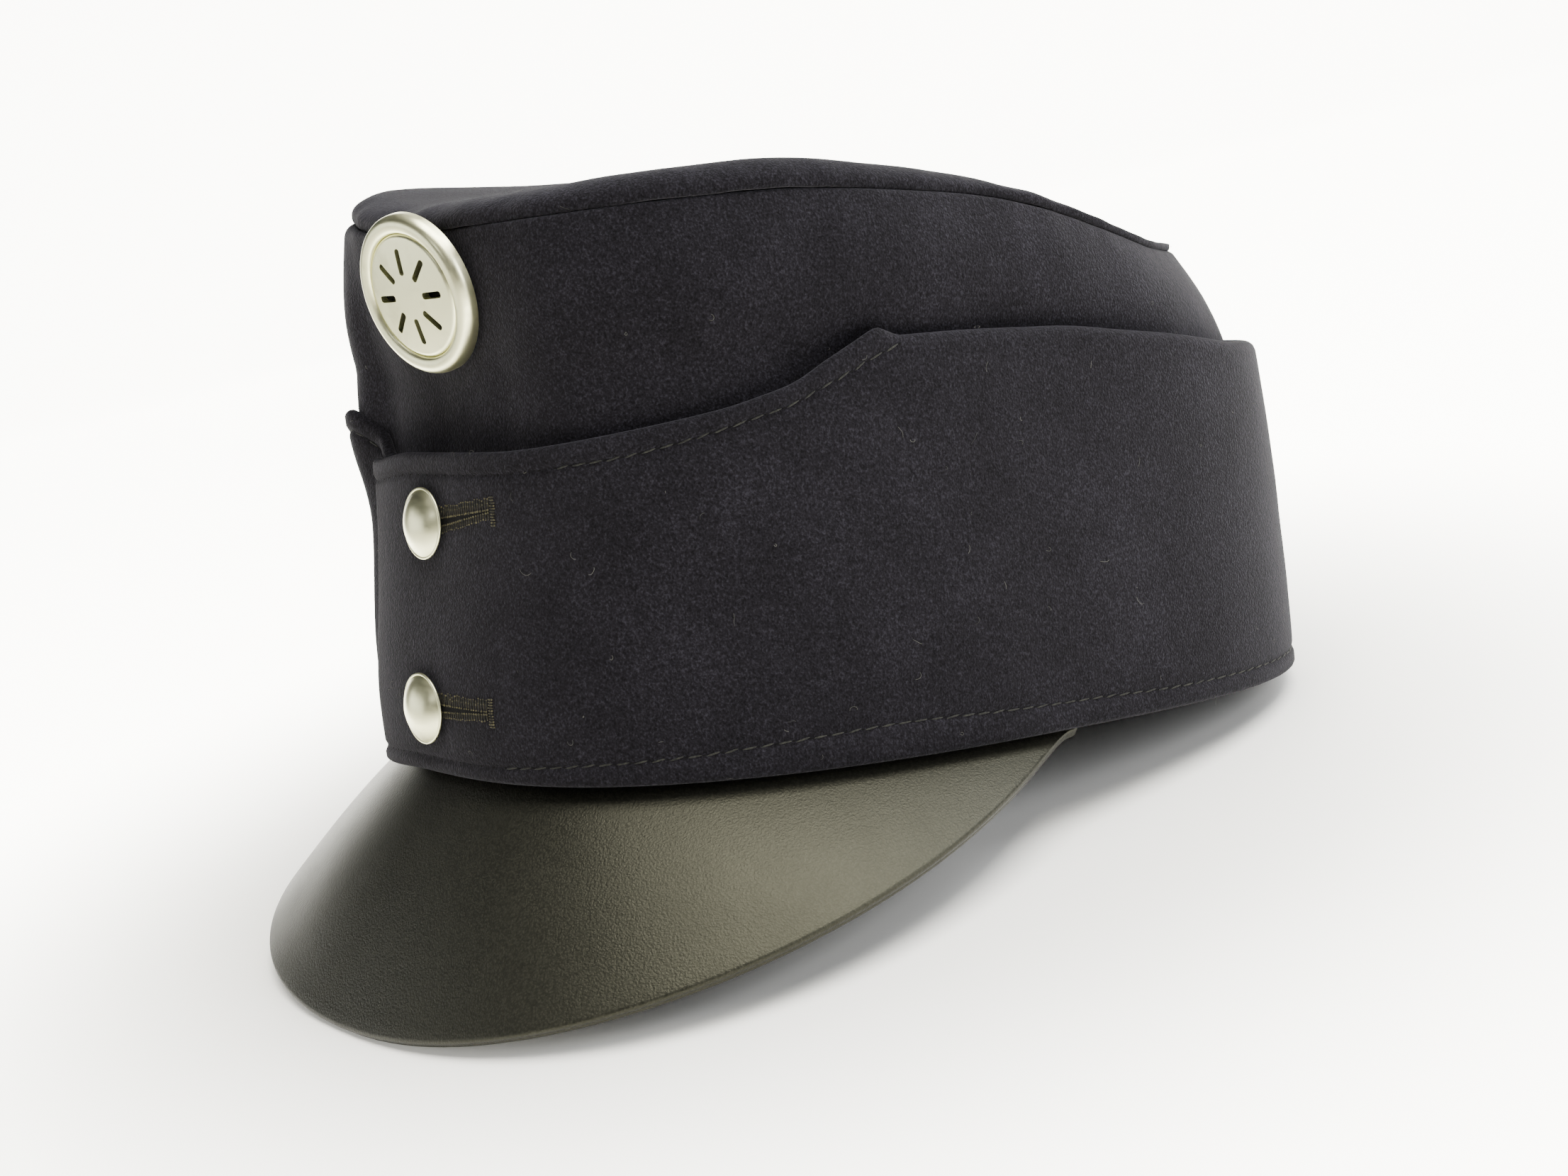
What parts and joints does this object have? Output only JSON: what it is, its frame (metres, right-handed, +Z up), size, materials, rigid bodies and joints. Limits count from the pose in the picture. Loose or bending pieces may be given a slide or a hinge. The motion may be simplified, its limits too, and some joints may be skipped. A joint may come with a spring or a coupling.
{
  "type": "military cap",
  "caption": "Soft wool field cap with a flat sloping crown, turned-up buttoned ear flap, curved leather peak, domed buttons and a round pierced badge.",
  "frame": {"origin": "centre of the cap's bounding box at the level of the surface it rests on", "axes": "-Y toward the cap's front and peak, +X toward the wearer's left, +Z up; the cap rests on the peak's tip and the rear of its hem"},
  "size_m": [0.1968, 0.266, 0.1682],
  "materials": {
    "wool": "dense napped navy wool",
    "peak_leather": "satin black fine grain",
    "button_metal": "satin",
    "backing": "matt dark plate behind the badge's slots"
  },
  "bodies": {
    "root": {"crown_side": "wool", "crown_top": "wool", "ear_flap": "wool", "peak": "peak_leather", "button_lower": "button_metal", "button_upper": "button_metal", "badge_face": "button_metal", "badge_backing": "backing"}
  },
  "joints": []
}
